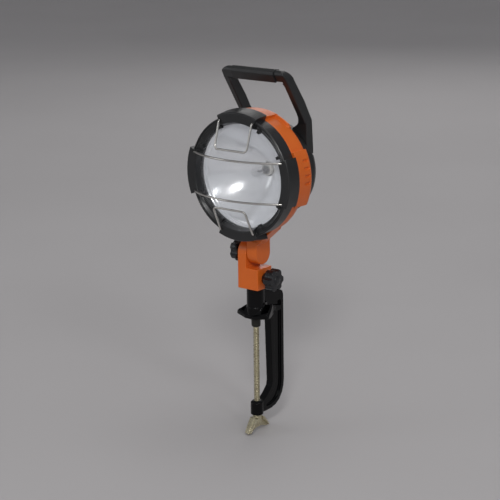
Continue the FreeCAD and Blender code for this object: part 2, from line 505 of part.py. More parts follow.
handle = fillet(handle, 2.4, long_edge)
cover = cut(cover, handle)
cover = cut(cover, *[box(min(i * 43.3, i * 56), max(i * 43.3, i * 56), 42.4, 58, 216.0, 238.0) for i in (-1, 1)])
handle = cut(handle, *[cyl_y(38, 58, x, z, 2.0) for x, z in HS])
handle = cut(handle, *[cyl_y(53.8, 58, x, z, 3.6) for x, z in HS])
cover = cut(cover, *[cyl_y(26.0, 44.0, x, z, 1.9) for x, z in HS])
vents = []
for k in range(-2, 3):
    z = HEAD_Z + 6.5 * k - 2.0
    vents.append(box(-22, 22, COVER_REAR - 4, COVER_REAR + 1, z - 1.3, z + 1.3))
cover = cut(cover, *vents)
GL_Z = HEAD_Z - 36.0
SW_Z = HEAD_Z + 36.0
SW_Y = 53.4
cover = cut(cover, cyl_y(COVER_REAR - 5, COVER_REAR + 1, 0, GL_Z, 6.2))
cover = cut(cover, box(-9.6, 9.6, COVER_REAR - 5, COVER_REAR + 1, SW_Z - 8.2, SW_Z + 8.2))
cover = cut(cover, *[cyl_y(CY0 - 1, COVER_REAR + 1, x, z, 1.6) for x, z in CS])
cover = cut(cover, *[cyl_y(50.0, COVER_REAR + 1, x, z, 3.3) for x, z in CS])
BR = [(20.0 * i, HEAD_Z) for i in (-1, 1)]
cover = fuse(cover, *[cyl_y(COVER_REAR - 2.8, COVER_REAR - 0.2, x, z + 7.6, 3.0) for x, z in BR])
BR = [(x, z + 7.6) for x, z in BR]
cover = cut(cover, *[cyl_y(50, COVER_REAR - 0.6, x, z, 1.1) for x, z in BR])
out("rear_cover", max(cover.Solids, key=lambda q: q.Volume))
out("handle_frame", max(handle.Solids, key=lambda q: q.Volume))
out("rear_gasket", rev_y([(HOUS_REAR, 58.6), (HOUS_REAR, 62.6), (CY0, 62.6), (CY0, 58.6)]))

tabs = []
for x, z in CS:
    a = math.degrees(math.atan2(x, z - HEAD_Z))
    tabs.append(rev_y([(15.6, 49.0), (15.6, 60.0), (HOUS_REAR, 60.0), (HOUS_REAR, 49.0)], a - 6.5, a + 6.5))
hous = fuse(hous, *tabs)
hous = cut(hous, *[cyl_y(10, 25, x, z, 1.6) for x, z in CS])
out("main_housing", hous)

out("rear_cover_screws", [fuse(cyl_y(14.0, 50.0, x, z, 1.6), cut(cyl_y(50.0, 52.6, x, z, 3.1), box(x - 2.3, x + 2.3, 51.4, 53, z - 0.4, z + 0.4), box(x - 0.4, x + 0.4, 51.4, 53, z - 2.3, z + 2.3))) for x, z in CS])
out("handle_screws", [fuse(cyl_y(27.0, 53.8, x, z, 1.9), cut(cyl_y(53.8, 56.4, x, z, 3.4), box(x - 2.4, x + 2.4, 55.2, 57, z - 0.45, z + 0.45), box(x - 0.45, x + 0.45, 55.2, 57, z - 2.4, z + 2.4))) for x, z in HS])

# ---- soft grip sleeve on the handle's bar
bar = [(3.2, 313.6), (-2.2, 322.6), (-1.4, 326.0), (2.4, 328.2), (8.6, 327.4), (13.0, 323.4), (14.8, 320.9)]
cyb = sum(p[0] for p in bar) / len(bar)
czb = sum(p[1] for p in bar) / len(bar)
gs = [(cyb + (y - cyb) * 1.22, czb + (z - czb) * 1.22) for y, z in bar]
grip = prism_x(gs, -GRIP_LEN / 2, GRIP_LEN / 2)
grip = fillet(grip, 1.6, lambda e: e.BoundBox.XLength > 60)
out("handle_grip", cut(grip, handle))

# ---- lamp, holder, bracket, terminal block, leads
glass_o = [(26.0, 0), (26.0, 6.4), (2.4, 6.4), (-0.6, 5.6), (-2.8, 3.8), (-3.8, 1.6), (-5.4, 0.9), (-5.8, 0)]
glass_i = [(25.0, 0), (25.0, 5.5), (2.6, 5.5), (0.2, 4.8), (-1.8, 3.2), (-2.6, 0)]
out("lamp_glass", cut(rev_y(glass_o), rev_y(glass_i)))
fil_ = [cyl_y(10.0, 25.0, s * 2.2, HEAD_Z, 0.45) for s in (-1, 1)] + [cyl((-2.2, 10.2, HEAD_Z), (1, 0, 0), 1.1, 4.4)]
out("lamp_filament", fuse(*fil_))
out("lamp_base", fuse(rev_y([(26.0, 0), (26.0, 8.2), (34.0, 8.2), (34.0, 0)]), *[cyl_y(34.0, 42.0, s * 4.4, HEAD_Z, 1.0) for s in (-1, 1)]))
holder = rev_y([(sock_y + 0.4, 0), (sock_y + 0.4, 13.2), (47.0, 13.2), (50.0, 11.6), (50.0, 0)])
holder = cut(holder, *[cyl_y(sock_y, 44.0, s * 4.4, HEAD_Z, 1.1) for s in (-1, 1)])
out("lamp_holder", holder)
br = [(-25, 54.4), (-25, 53.2), (-15.4, 53.2), (-15.4, 50.0), (15.4, 50.0), (15.4, 53.2), (25, 53.2), (25, 54.4), (14.2, 54.4), (14.2, 51.2), (-14.2, 51.2), (-14.2, 54.4)]
bracket = prism_z(br, HEAD_Z - 11.0, HEAD_Z + 11.0)
bracket = cut(bracket, *[cyl_y(50, 56, x, z, 1.2) for x, z in BR])
bracket = cut(bracket, *[cyl_y(54.15, 56, x, z, 3.05) for x, z in BR])
out("lamp_bracket", bracket)
out("bracket_screws", [fuse(cyl_y(51.8, 53.2, x, z, 2.1), cyl_y(53.2, COVER_REAR - 0.8, x, z, 1.1)) for x, z in BR])
tb = box(-13, 13, 45.6, 54.4, HEAD_Z - 27.0, HEAD_Z - 17.0)
tb = cut(tb, *[cyl_y(45, 49, x, HEAD_Z - 22.0, 2.0) for x in (-8.6, 0, 8.6)])
tb = cut(tb, *[cyl((x, 50.6, HEAD_Z - 28), (0, 0, 1), 1.3, 12) for x in (-8.6, 0, 8.6)])
out("terminal_block", tb)
out("terminal_screws", [cyl_y(45.9, 49.0, x, HEAD_Z - 22.0, 1.9) for x in (-8.6, 0, 8.6)])

# ---- cord inlet gland (body, seal, dome nut)
out("cord_gland", cut(fuse(cyl_y(COVER_REAR - 8.0, COVER_REAR + 5.5, 0, GL_Z, 6.0), cyl_y(COVER_REAR, COVER_REAR + 2.6, 0, GL_Z, 8.6)), cyl_y(40, 70, 0, GL_Z, 4.2)))
out("gland_locknut", cut(rev_y([(COVER_REAR - 5.8, 0), (COVER_REAR - 5.8, 8.6), (COVER_REAR - 2.6, 8.6), (COVER_REAR - 2.6, 0)], x=0, z=GL_Z), cyl_y(40, 70, 0, GL_Z, 6.0)))
gn = rev_y([(COVER_REAR + 2.6, 0), (COVER_REAR + 2.6, 8.4), (COVER_REAR + 7.6, 8.2), (COVER_REAR + 9.6, 6.4), (COVER_REAR + 9.6, 0)], x=0, z=GL_Z)
gn = cut(gn, cyl_y(COVER_REAR, COVER_REAR + 5.5, 0, GL_Z, 6.0), cyl_y(COVER_REAR, 70, 0, GL_Z, 4.2))
out("gland_nut", gn)

# ---- rocker switch
swb = fuse(box(-9.4, 9.4, 38.0, COVER_REAR, SW_Z - 8.0, SW_Z + 8.0), box(-11.2, 11.2, COVER_REAR, COVER_REAR + 1.5, SW_Z - 9.8, SW_Z + 9.8))
swb = cut(swb, box(-7.6, 7.6, 47.0, COVER_REAR + 3, SW_Z - 6.9, SW_Z + 6.9), cyl_x(-9.0, 9.0, SW_Y, SW_Z, 1.1))
out("switch_body", swb)
rk = prism_x([(48.6, SW_Z - 3.0), (51.0, SW_Z - 5.0), (60.2, SW_Z - 5.3), (58.6, SW_Z), (60.2, SW_Z + 5.3), (51.0, SW_Z + 5.0), (48.6, SW_Z + 3.0)], -7.2, 7.2)
rk = fuse(rk, cyl_x(-8.6, 8.6, SW_Y, SW_Z, 1.05))
rk.rotate(V(0, SW_Y, SW_Z), V(1, 0, 0), -11)
out("switch_rocker", rk)
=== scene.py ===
import json
import math

import bmesh
import bpy
import numpy as np
from mathutils import Matrix, Vector

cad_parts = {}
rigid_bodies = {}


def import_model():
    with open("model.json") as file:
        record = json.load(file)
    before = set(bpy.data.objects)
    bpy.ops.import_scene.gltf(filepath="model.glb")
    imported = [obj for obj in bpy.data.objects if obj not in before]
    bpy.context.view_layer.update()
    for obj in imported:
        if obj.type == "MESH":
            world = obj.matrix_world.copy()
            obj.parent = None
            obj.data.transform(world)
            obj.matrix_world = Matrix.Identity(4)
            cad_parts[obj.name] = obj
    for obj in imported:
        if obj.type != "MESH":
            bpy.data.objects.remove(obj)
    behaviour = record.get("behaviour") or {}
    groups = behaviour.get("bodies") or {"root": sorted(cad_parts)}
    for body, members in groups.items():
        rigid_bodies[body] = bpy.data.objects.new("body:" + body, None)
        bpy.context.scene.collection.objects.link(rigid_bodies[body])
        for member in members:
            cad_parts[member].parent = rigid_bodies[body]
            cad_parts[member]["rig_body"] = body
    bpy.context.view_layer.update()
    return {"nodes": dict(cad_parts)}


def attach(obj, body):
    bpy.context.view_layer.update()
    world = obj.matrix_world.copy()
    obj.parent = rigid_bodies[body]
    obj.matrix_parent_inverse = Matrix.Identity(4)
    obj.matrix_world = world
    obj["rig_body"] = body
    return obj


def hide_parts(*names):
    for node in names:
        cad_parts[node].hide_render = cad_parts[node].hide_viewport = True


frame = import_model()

# The visual model of the clamp-on work light. Metres, in the CAD frame:
# +Z up along the clamp screw, the lamp faces -Y.
NODES = frame["nodes"]
MM = 0.001
HZ = 0.1909            # height of the lamp's optical axis
TZ = 0.0869            # height of the tilt axis
PZ = 0.0540            # height of the swivel lock
scene = bpy.context.scene
scene.view_settings.view_transform = "Standard"
scene.view_settings.look = "None"


# ------------------------------------------------------------------ materials
def _nodes(name):
    m = bpy.data.materials.new(name)
    m.use_nodes = True
    nt = m.node_tree
    nt.nodes.clear()
    out = nt.nodes.new("ShaderNodeOutputMaterial")
    b = nt.nodes.new("ShaderNodeBsdfPrincipled")
    nt.links.new(b.outputs["BSDF"], out.inputs["Surface"])
    return m, nt, b


def _noise(nt, co, scale, detail=3.0, rough=0.55, distortion=0.0):
    n = nt.nodes.new("ShaderNodeTexNoise")
    n.inputs["Scale"].default_value = scale
    n.inputs["Detail"].default_value = detail
    n.inputs["Roughness"].default_value = rough
    n.inputs["Distortion"].default_value = distortion
    nt.links.new(co, n.inputs["Vector"])
    return n.outputs["Fac"]


def _range(nt, fac, lo, hi, a=0.35, b=0.65):
    r = nt.nodes.new("ShaderNodeMapRange")
    r.inputs["From Min"].default_value = a
    r.inputs["From Max"].default_value = b
    r.inputs["To Min"].default_value = lo
    r.inputs["To Max"].default_value = hi
    nt.links.new(fac, r.inputs["Value"])
    return r.outputs["Result"]


def _mix(nt, fac, c0, c1):
    m = nt.nodes.new("ShaderNodeMix")
    m.data_type = "RGBA"
    for i, c in ((6, c0), (7, c1)):
        if hasattr(c, "links"):
            nt.links.new(c, m.inputs[i])
        else:
            m.inputs[i].default_value = (*c, 1.0)
    if hasattr(fac, "links"):
        nt.links.new(fac, m.inputs[0])
    else:
        m.inputs[0].default_value = fac
    return m.outputs[2]


def _bump(nt, b, h, strength, dist, chain=None):
    n = nt.nodes.new("ShaderNodeBump")
    n.inputs["Strength"].default_value = strength
    n.inputs["Distance"].default_value = dist
    nt.links.new(h, n.inputs["Height"])
    if chain is not None:
        nt.links.new(chain, n.inputs["Normal"])
    nt.links.new(n.outputs["Normal"], b.inputs["Normal"])
    return n.outputs["Normal"]


def surface(name, base, alt, rough=(0.4, 0.5), metal=0.0, grain=None, wave=None, edge=None, coat=0.0, coat_rough=0.1, spec=0.5, mottle=9.0, stretch=None, cavity_shade=None):
    """A moulded, painted or plated surface. base and alt are mixed by a broad
    mottle, rough varies with it, grain and wave are (scale, strength, distance)
    bumps, edge is (colour, amount) of a painted highlight on the raised edges,
    broken up by fine specks, and cavity is (colour, amount) of painted shade
    in the hollows."""
    m, nt, b = _nodes(name)
    tc = nt.nodes.new("ShaderNodeTexCoord")
    co = tc.outputs["Object"]
    if stretch:
        mp = nt.nodes.new("ShaderNodeMapping")
        mp.inputs["Scale"].default_value = stretch
        nt.links.new(co, mp.inputs["Vector"])
        co = mp.outputs["Vector"]
    big = _noise(nt, co, mottle, 4.0)
    col = _mix(nt, _range(nt, big, 0.0, 1.0), base, alt)
    # painted highlight: raised edges get the lighter edge colour, broken up by fine specks
    if edge:
        geo = nt.nodes.new("ShaderNodeNewGeometry")
        e = _range(nt, geo.outputs["Pointiness"], 0.0, edge[1], 0.53, 0.62)
        speck = _range(nt, _noise(nt, co, 420.0, 3.0), 0.25, 1.0)
        mul = nt.nodes.new("ShaderNodeMath")
        mul.operation = "MULTIPLY"
        nt.links.new(e, mul.inputs[0])
        nt.links.new(speck, mul.inputs[1])
        col = _mix(nt, mul.outputs[0], col, edge[0])
    # painted shade: hollows such as the thread roots get the darker cavity colour
    if cavity_shade:
        geo2 = nt.nodes.new("ShaderNodeNewGeometry")
        col = _mix(nt, _range(nt, geo2.outputs["Pointiness"], cavity_shade[1], 0.0, 0.36, 0.48), col, cavity_shade[0])
    nt.links.new(col, b.inputs["Base Color"])
    nt.links.new(_range(nt, _noise(nt, co, mottle * 5, 3.0), rough[0], rough[1]), b.inputs["Roughness"])
    b.inputs["Metallic"].default_value = metal
    b.inputs["Specular IOR Level"].default_value = spec
    if coat:
        b.inputs["Coat Weight"].default_value = coat
        b.inputs["Coat Roughness"].default_value = coat_rough
    chain = None
    if wave:
        chain = _bump(nt, b, _noise(nt, co, wave[0], 2.0), wave[1], wave[2], chain)
    if grain:
        chain = _bump(nt, b, _noise(nt, co, grain[0], 2.0, 0.6), grain[1], grain[2], chain)
    return m


# The edge colours below are painted highlights on the raised edges; the zinc_screw cavity colour is painted shade in
# the thread roots and other hollows.
MAT = {}
MAT["orange"] = surface("orange_plastic", (0.73, 0.147, 0.015), (0.67, 0.126, 0.013), (0.30, 0.40), grain=(1500, 0.10, 0.0004), wave=(60, 0.05, 0.001),
                        edge=((0.86, 0.24, 0.05), 0.35), spec=0.45, mottle=14)
MAT["black"] = surface("black_plastic", (0.0145, 0.0150, 0.0160), (0.0105, 0.0110, 0.0118), (0.29, 0.39), grain=(1700, 0.12, 0.0004), wave=(45, 0.03, 0.001),
                       edge=((0.060, 0.062, 0.066), 0.7), spec=0.55, mottle=16)
MAT["knob"] = surface("knob_plastic", (0.0098, 0.0105, 0.0130), (0.0074, 0.0080, 0.0098), (0.22, 0.34), grain=(1700, 0.12, 0.0004),
                      edge=((0.055, 0.058, 0.066), 0.5), mottle=30)
MAT["grip"] = surface("soft_grip", (0.0150, 0.0152, 0.0160), (0.0110, 0.0112, 0.0118), (0.36, 0.48), grain=(1100, 0.20, 0.0004),
                      edge=((0.045, 0.047, 0.050), 0.4), mottle=20)
MAT["enamel"] = surface("black_enamel", (0.0026, 0.0026, 0.0030), (0.0018, 0.0018, 0.0022), (0.13, 0.21), wave=(150, 0.10, 0.0007), grain=(700, 0.04, 0.0003),
                        edge=((0.016, 0.016, 0.017), 0.6), spec=0.17, mottle=18)
MAT["foot"] = surface("foot_black", (0.020, 0.018, 0.014), (0.013, 0.012, 0.009), (0.38, 0.52), metal=0.3, grain=(900, 0.16, 0.0003),
                      edge=((0.085, 0.080, 0.065), 0.6), mottle=60)
# zinc_screw: the light edge colour is a painted highlight, the dark cavity colour is painted shade in the thread roots
MAT["zinc_screw"] = surface("zinc_screw", (0.60, 0.55, 0.385), (0.50, 0.45, 0.310), (0.24, 0.37), metal=0.9, grain=(1500, 0.12, 0.0002),
                            edge=((0.74, 0.71, 0.60), 0.7), cavity_shade=((0.10, 0.085, 0.050), 0.85), mottle=70)
MAT["zinc"] = surface("zinc_steel", (0.60, 0.61, 0.62), (0.50, 0.51, 0.53), (0.28, 0.42), metal=1.0, grain=(1600, 0.10, 0.0002),
                      edge=((0.78, 0.79, 0.80), 0.6), mottle=80)
MAT["nickel"] = surface("nickel_wire", (0.66, 0.645, 0.61), (0.56, 0.545, 0.515), (0.14, 0.24), metal=1.0, grain=(1800, 0.06, 0.0002),
                        wave=(260, 0.06, 0.0004), mottle=60)
MAT["gasket"] = surface("gasket_rubber", (0.016, 0.016, 0.017), (0.011, 0.011, 0.012), (0.55, 0.7), grain=(1400, 0.2, 0.0003), mottle=60)
MAT["ceramic"] = surface("ceramic_white", (0.76, 0.745, 0.70), (0.70, 0.68, 0.63), (0.22, 0.34), wave=(200, 0.05, 0.0005), coat=0.3, mottle=40)
MAT["terminal"] = surface("terminal_plastic", (0.72, 0.70, 0.62), (0.66, 0.64, 0.56), (0.4, 0.5), grain=(1600, 0.1, 0.0003), mottle=50)
MAT["brass"] = surface("brass_parts", (0.70, 0.50, 0.20), (0.60, 0.42, 0.15), (0.26, 0.40), metal=1.0, grain=(1600, 0.1, 0.0002), mottle=90)
MAT["filament"] = surface("filament_wire", (0.35, 0.35, 0.36), (0.26, 0.26, 0.27), (0.35, 0.45), metal=1.0, grain=(2500, 0.1, 0.0001), mottle=90)
MAT["gland"] = surface("gland_plastic", (0.026, 0.027, 0.030), (0.019, 0.020, 0.022), (0.40, 0.52), grain=(1500, 0.14, 0.0003), edge=((0.07, 0.07, 0.075), 0.5), mottle=40)
MAT["switch"] = surface("switch_black", (0.016, 0.016, 0.018), (0.012, 0.012, 0.013), (0.22, 0.32), grain=(1500, 0.06, 0.0003), edge=((0.05, 0.05, 0.054), 0.5), mottle=40)
MAT["rocker"] = surface("rocker_black", (0.022, 0.022, 0.024), (0.016, 0.016, 0.018), (0.16, 0.26), grain=(1500, 0.04, 0.0003), coat=0.3, mottle=40)


def reflector_material():
    """Bright anodised bowl, spun: fine rings round the optical axis."""
    m, nt, b = _nodes("reflector_metal")
    tc = nt.nodes.new("ShaderNodeTexCoord")
    sep = nt.nodes.new("ShaderNodeSeparateXYZ")
    nt.links.new(tc.outputs["Object"], sep.inputs[0])
    dz = nt.nodes.new("ShaderNodeMath"); dz.operation = "SUBTRACT"; dz.inputs[1].default_value = HZ
    nt.links.new(sep.outputs["Z"], dz.inputs[0])
    cmb = nt.nodes.new("ShaderNodeCombineXYZ")
    nt.links.new(sep.outputs["X"], cmb.inputs["X"])
    nt.links.new(dz.outputs[0], cmb.inputs["Y"])
    ln = nt.nodes.new("ShaderNodeVectorMath"); ln.operation = "LENGTH"
    nt.links.new(cmb.outputs[0], ln.inputs[0])
    rv = nt.nodes.new("ShaderNodeCombineXYZ")
    nt.links.new(ln.outputs["Value"], rv.inputs["X"])
    ring = _noise(nt, rv.outputs[0], 900, 4.0, 0.6)
    broad = _noise(nt, tc.outputs["Object"], 22, 3.0)
    nt.links.new(_mix(nt, _range(nt, broad, 0, 1), (0.97, 0.98, 1.0), (0.94, 0.955, 0.985)), b.inputs["Base Color"])
    nt.links.new(_range(nt, ring, 0.16, 0.21), b.inputs["Roughness"])
    b.inputs["Metallic"].default_value = 0.50
    _bump(nt, b, ring, 0.02, 0.0002)
    return m


def glass_material(name, tint, alpha, rough, spec=1.0):
    """Clear pane: mostly see-through, with a sharp reflection on top."""
    m, nt, b = _nodes(name)
    tc = nt.nodes.new("ShaderNodeTexCoord")
    n = _noise(nt, tc.outputs["Object"], 35, 3.0)
    nt.links.new(_mix(nt, _range(nt, n, 0, 1), tint, tuple(c * 0.97 for c in tint)), b.inputs["Base Color"])
    nt.links.new(_range(nt, _noise(nt, tc.outputs["Object"], 90, 2.0), rough[0], rough[1]), b.inputs["Roughness"])
    b.inputs["Alpha"].default_value = alpha
    b.inputs["IOR"].default_value = 1.5
    b.inputs["Specular IOR Level"].default_value = spec
    _bump(nt, b, _noise(nt, tc.outputs["Object"], 30, 2.0), 0.04, 0.001)
    m.blend_method = "BLEND" if hasattr(m, "blend_method") else None
    return m


MAT["reflector"] = reflector_material()
MAT["lens"] = glass_material("lens_glass", (0.88, 0.90, 0.94), 0.13, (0.04, 0.08))
MAT["bulb"] = glass_material("bulb_glass", (0.86, 0.87, 0.90), 0.05, (0.10, 0.16), 0.15)


# -------------------------------------------------------------------- helpers
def put(me, name, body, mat, repl=(), smooth=True):
    o = bpy.data.objects.new(name, me)
    scene.collection.objects.link(o)
    me.materials.clear()
    me.materials.append(MAT[mat])
    for p in me.polygons:
        p.use_smooth = smooth
        p.material_index = 0
    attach(o, body)
    if repl:
        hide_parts(*repl)
    return o


def evaluated(me, mods):
    """Applies (type, settings) modifiers to a mesh and returns the new mesh."""
    o = bpy.data.objects.new("tmp_piece", me)
    scene.collection.objects.link(o)
    for t, kw in mods:
        md = o.modifiers.new(t, t)
        for k, v in kw.items():
            setattr(md, k, v)
    dg = bpy.context.evaluated_depsgraph_get()
    dg.update()
    r = bpy.data.meshes.new_from_object(o.evaluated_get(dg))
    bpy.data.objects.remove(o)
    return r


def soften(node, name, mat, voxel, it=5, keep=0.4, body=None, factor=0.5):
    """The CAD solid with its edges rounded as a moulding or casting has them."""
    src = NODES[node]
    me = src.data.copy()
    bm = bmesh.new()
    bm.from_mesh(me)
    bmesh.ops.remove_doubles(bm, verts=bm.verts, dist=1e-6)
    bm.to_mesh(me)
    bm.free()
    vx = voxel * MM * 1.0
    mods = [("REMESH", {"mode": "VOXEL", "voxel_size": vx, "adaptivity": 0.0}),
            ("SMOOTH", {"factor": factor, "iterations": it})]
    if keep < 1:
        mods.append(("DECIMATE", {"decimate_type": "COLLAPSE", "ratio": keep}))
    r = evaluated(me, mods)
    return put(r, name, body or src["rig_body"], mat, (node,))


def lathe(prof, name, body, mat, repl=(), axis="Y", centre=(0, 0, HZ), n=160, close=True):
    """(along, radius) profile in mm turned about an axis; radius 0 ends are poles."""
    bm = bmesh.new()
    rings = []
    nn = n
    for a, r in prof:
        if r < 1e-6:
            p = {"Y": (centre[0], a * MM, centre[2]), "X": (a * MM, centre[1], centre[2]), "Z": (centre[0], centre[1], a * MM)}[axis]
            rings.append([bm.verts.new(p)])
            continue
        row = []
        for k in range(nn):
            t = 2 * math.pi * k / nn
            c, s = math.cos(t) * r * MM, math.sin(t) * r * MM
            p = {"Y": (centre[0] + s, a * MM, centre[2] + c), "X": (a * MM, centre[1] + c, centre[2] + s), "Z": (centre[0] + c, centre[1] + s, a * MM)}[axis]
            row.append(bm.verts.new(p))
        rings.append(row)
    pairs = list(zip(rings, rings[1:]))
    if close:
        pairs.append((rings[-1], rings[0]))
    for r0, r1 in pairs:
        if len(r0) == 1 and len(r1) == 1:
            continue
        if len(r0) == 1:
            for k in range(nn):
                bm.faces.new((r0[0], r1[k], r1[(k + 1) % nn]))
        elif len(r1) == 1:
            for k in range(nn):
                bm.faces.new((r0[k], r1[0], r0[(k + 1) % nn]))
        else:
            for k in range(nn):
                bm.faces.new((r0[k], r1[k], r1[(k + 1) % nn], r0[(k + 1) % nn]))
    bmesh.ops.recalc_face_normals(bm, faces=bm.faces)
    me = bpy.data.meshes.new(name)
    bm.to_mesh(me)
    bm.free()
    return put(me, name, body, mat, repl)


def rounded(prof, r, seg=4, closed=True):
    """A closed (a, r) outline with its corners rounded by up to r mm."""
    out = []
    n = len(prof)
    for i in range(n):
        p = Vector(prof[i])
        if not closed and i in (0, n - 1):
            out.append(tuple(p))
            continue
        a, b = Vector(prof[i - 1]) - p, Vector(prof[(i + 1) % n]) - p
        la, lb = a.length, b.length
        if la < 1e-6 or lb < 1e-6:
            continue
        t = min(r, la * 0.45, lb * 0.45)
        p0, p1 = p + a.normalized() * t, p + b.normalized() * t
        for k in range(seg + 1):
            u = k / seg
            q = (1 - u) ** 2 * p0 + 2 * u * (1 - u) * p + u * u * p1
            out.append(tuple(q))
    return out


def tube(pts, r, name, body, mat, repl=(), seg=20, ends=True):
    """Round wire along a polyline of points in metres, radius in mm."""
    P = [Vector(p) for p in pts]
    bm = bmesh.new()
    T = []
    for i in range(len(P)):
        a = P[max(i - 1, 0)]
        b = P[min(i + 1, len(P) - 1)]
        T.append((b - a).normalized())
    nrm = Vector((0, 0, 1))
    if abs(T[0].dot(nrm)) > 0.9:
        nrm = Vector((1, 0, 0))
    nrm = (nrm - T[0] * nrm.dot(T[0])).normalized()
    rows = []
    for i, p in enumerate(P):
        nrm = (nrm - T[i] * nrm.dot(T[i])).normalized()
        bn = T[i].cross(nrm)
        rows.append([bm.verts.new(p + (nrm * math.cos(2 * math.pi * k / seg) + bn * math.sin(2 * math.pi * k / seg)) * r * MM) for k in range(seg)])
    for r0, r1 in zip(rows, rows[1:]):
        for k in range(seg):
            bm.faces.new((r0[k], r0[(k + 1) % seg], r1[(k + 1) % seg], r1[k]))
    if ends:
        bm.faces.new(rows[0][::-1])
        bm.faces.new(rows[-1])
    bmesh.ops.recalc_face_normals(bm, faces=bm.faces)
    me = bpy.data.meshes.new(name)
    bm.to_mesh(me)
    bm.free()
    return put(me, name, body, mat, repl)


def keep(node, mat, smooth=None):
    """A CAD node that keeps its own mesh and gets a finished material."""
    o = NODES[node]
    o.data.materials.clear()
    o.data.materials.append(MAT[mat])
    for p in o.data.polygons:
        p.material_index = 0


# ================================================================== the clamp
soften("clamp_frame", "clamp_casting", "enamel", 0.40, it=2, keep=0.35)
soften("pressure_foot", "foot_cap", "foot", 0.22, it=4, keep=0.5)


def thread(name, z_top, z_bot, R, pitch, depth, nose, tail, body, mat, repl):
    """Rod along Z with a real single-start thread between two plain ends."""
    nt_ = 40
    per = 14
    zs = []
    z = z_top
    while z > z_bot:
        zs.append(z)
        z -= pitch / per
    zs.append(z_bot)
    bm = bmesh.new()
    rows = []
    for z, r in nose:
        rows.append([bm.verts.new((r * MM * math.cos(2 * math.pi * k / nt_), r * MM * math.sin(2 * math.pi * k / nt_), z * MM)) for k in range(nt_)])
    for z in zs:
        fade = min(1.0, (z_top - z) / (pitch * 1.2), (z - z_bot) / (pitch * 1.2))
        row = []
        for k in range(nt_):
            t = k / nt_
            ph = ((z_top - z) / pitch + t) % 1.0
            tri = abs(ph - 0.5) * 2
            prof = min(1.0, max(0.0, (tri - 0.30) / 0.40))
            rr = R - depth * prof * max(0.0, fade) - 0.02
            row.append(bm.verts.new((rr * MM * math.cos(2 * math.pi * t), rr * MM * math.sin(2 * math.pi * t), z * MM)))
        rows.append(row)
    for z, r in tail:
        rows.append([bm.verts.new((r * MM * math.cos(2 * math.pi * k / nt_), r * MM * math.sin(2 * math.pi * k / nt_), z * MM)) for k in range(nt_)])
    for r0, r1 in zip(rows, rows[1:]):
        for k in range(nt_):
            bm.faces.new((r0[k], r0[(k + 1) % nt_], r1[(k + 1) % nt_], r1[k]))
    bm.faces.new(rows[0])
    bm.faces.new(rows[-1][::-1])
    bmesh.ops.recalc_face_normals(bm, faces=bm.faces)
    me = bpy.data.meshes.new(name)
    bm.to_mesh(me)
    bm.free()
    return put(me, name, body, mat, repl)


thread("screw_rod", -13.6, -133.6, 3.98, 2.0, 0.95,
       [(-5.25, 1.2), (-5.5, 1.7), (-6.2, 2.6), (-9.5, 2.6), (-9.5, 1.95), (-10.7, 1.95), (-10.7, 2.6), (-13.2, 2.6), (-13.2, 3.3), (-13.5, 3.8)],
       [(-133.9, 3.98), (-146.0, 3.98), (-146.5, 3.4)], "screw", "zinc_screw", ("clamp_screw",))
soften("wing_handle", "wing_nut", "zinc_screw", 0.22, it=3, keep=0.5)
keep("wing_pin", "zinc_screw")
keep("foot_clip", "zinc")

# ================================================================ the swivel
soften("swivel_block", "swivel_moulding", "orange", 0.36, it=6, keep=0.35)
soften("pan_knob", "pan_knob_grip", "knob", 0.27, it=3, keep=0.45)
soften("tilt_knob", "tilt_knob_grip", "knob", 0.27, it=3, keep=0.45)
for n in ("pan_nut", "tilt_washer", "pan_stud", "tilt_stud", "tilt_nut", "bezel_screws", "rear_cover_screws", "handle_screws", "lamp_bracket", "bracket_screws"):
    keep(n, "zinc")

# ================================================================== the head
soften("front_bezel", "bezel_moulding", "black", 0.34, it=2, keep=0.28)
soften("main_housing", "housing_shell", "orange", 0.42, it=3, keep=0.26)
soften("rear_cover", "rear_shell", "black", 0.50, it=5, keep=0.28)
soften("handle_frame", "handle_moulding", "black", 0.46, it=7, keep=0.30)
soften("handle_grip", "grip_sleeve", "grip", 0.34, it=6, keep=0.4)

# guard wires: each end turns square into its pad
WX = math.sqrt(75.0 ** 2 - 26.0 ** 2)


def arc3(c, r, a0, a1, n):
    return [(c[0] + r * math.cos(a0 + (a1 - a0) * k / n), c[1] + r * math.sin(a0 + (a1 - a0) * k / n)) for k in range(n + 1)]


def cross_wire(name, node, dz):
    th, rb, ya, end = math.radians(33.0), 3.0, -33.0, -29.6
    n = (math.sin(th), -math.cos(th))
    c = (WX - rb, ya)
    p2 = (c[0] + n[0] * rb, c[1] + n[1] * rb)
    big = p2[0] / n[0]
    cy = p2[1] - big * n[1]
    pts = [(WX, end), (WX, (end + ya) / 2)]
    pts += arc3(c, rb, 0.0, -(math.pi / 2 - th), 8)
    a0 = math.atan2(p2[1] - cy, p2[0])
    a1 = math.atan2(p2[1] - cy, -p2[0])
    if a1 > a0:
        a1 -= 2 * math.pi
    pts += arc3((0.0, cy), big, a0, a1, 90)[1:]
    pts += [(-x, y) for x, y in arc3(c, rb, 0.0, -(math.pi / 2 - th), 8)[::-1]][1:]
    pts += [(-WX, (end + ya) / 2), (-WX, end)]
    return tube([(x * MM, y * MM, HZ + dz * MM) for x, y in pts], 1.4, name, "head", "nickel", (node,))


def bent(P, bends, n=10):
    P = [Vector(p) for p in P]
    out = [P[0]]
    for k in range(1, len(P) - 1):
        a = (P[k - 1] - P[k]).normalized()
        b = (P[k + 1] - P[k]).normalized()
        half = math.acos(max(-1, min(1, a.dot(b)))) / 2
        R = bends[k - 1]
        t = R / math.tan(half)
        p0, p1 = P[k] + a * t, P[k] + b * t
        c = P[k] + (a + b).normalized() * (R / math.sin(half))
        v0, v1 = p0 - c, p1 - c
        ang = v0.angle(v1)
        for i in range(n + 1):
            u = i / n
            v = (v0 * math.sin((1 - u) * ang) + v1 * math.sin(u * ang)) / math.sin(ang)
            out.append(c + v)
    out.append(P[-1])
    dense = [out[0]]
    for a, b in zip(out, out[1:]):
        m = max(1, int((b - a).length / 3.0))
        for i in range(1, m + 1):
            dense.append(a + (b - a) * (i / m))
    return dense


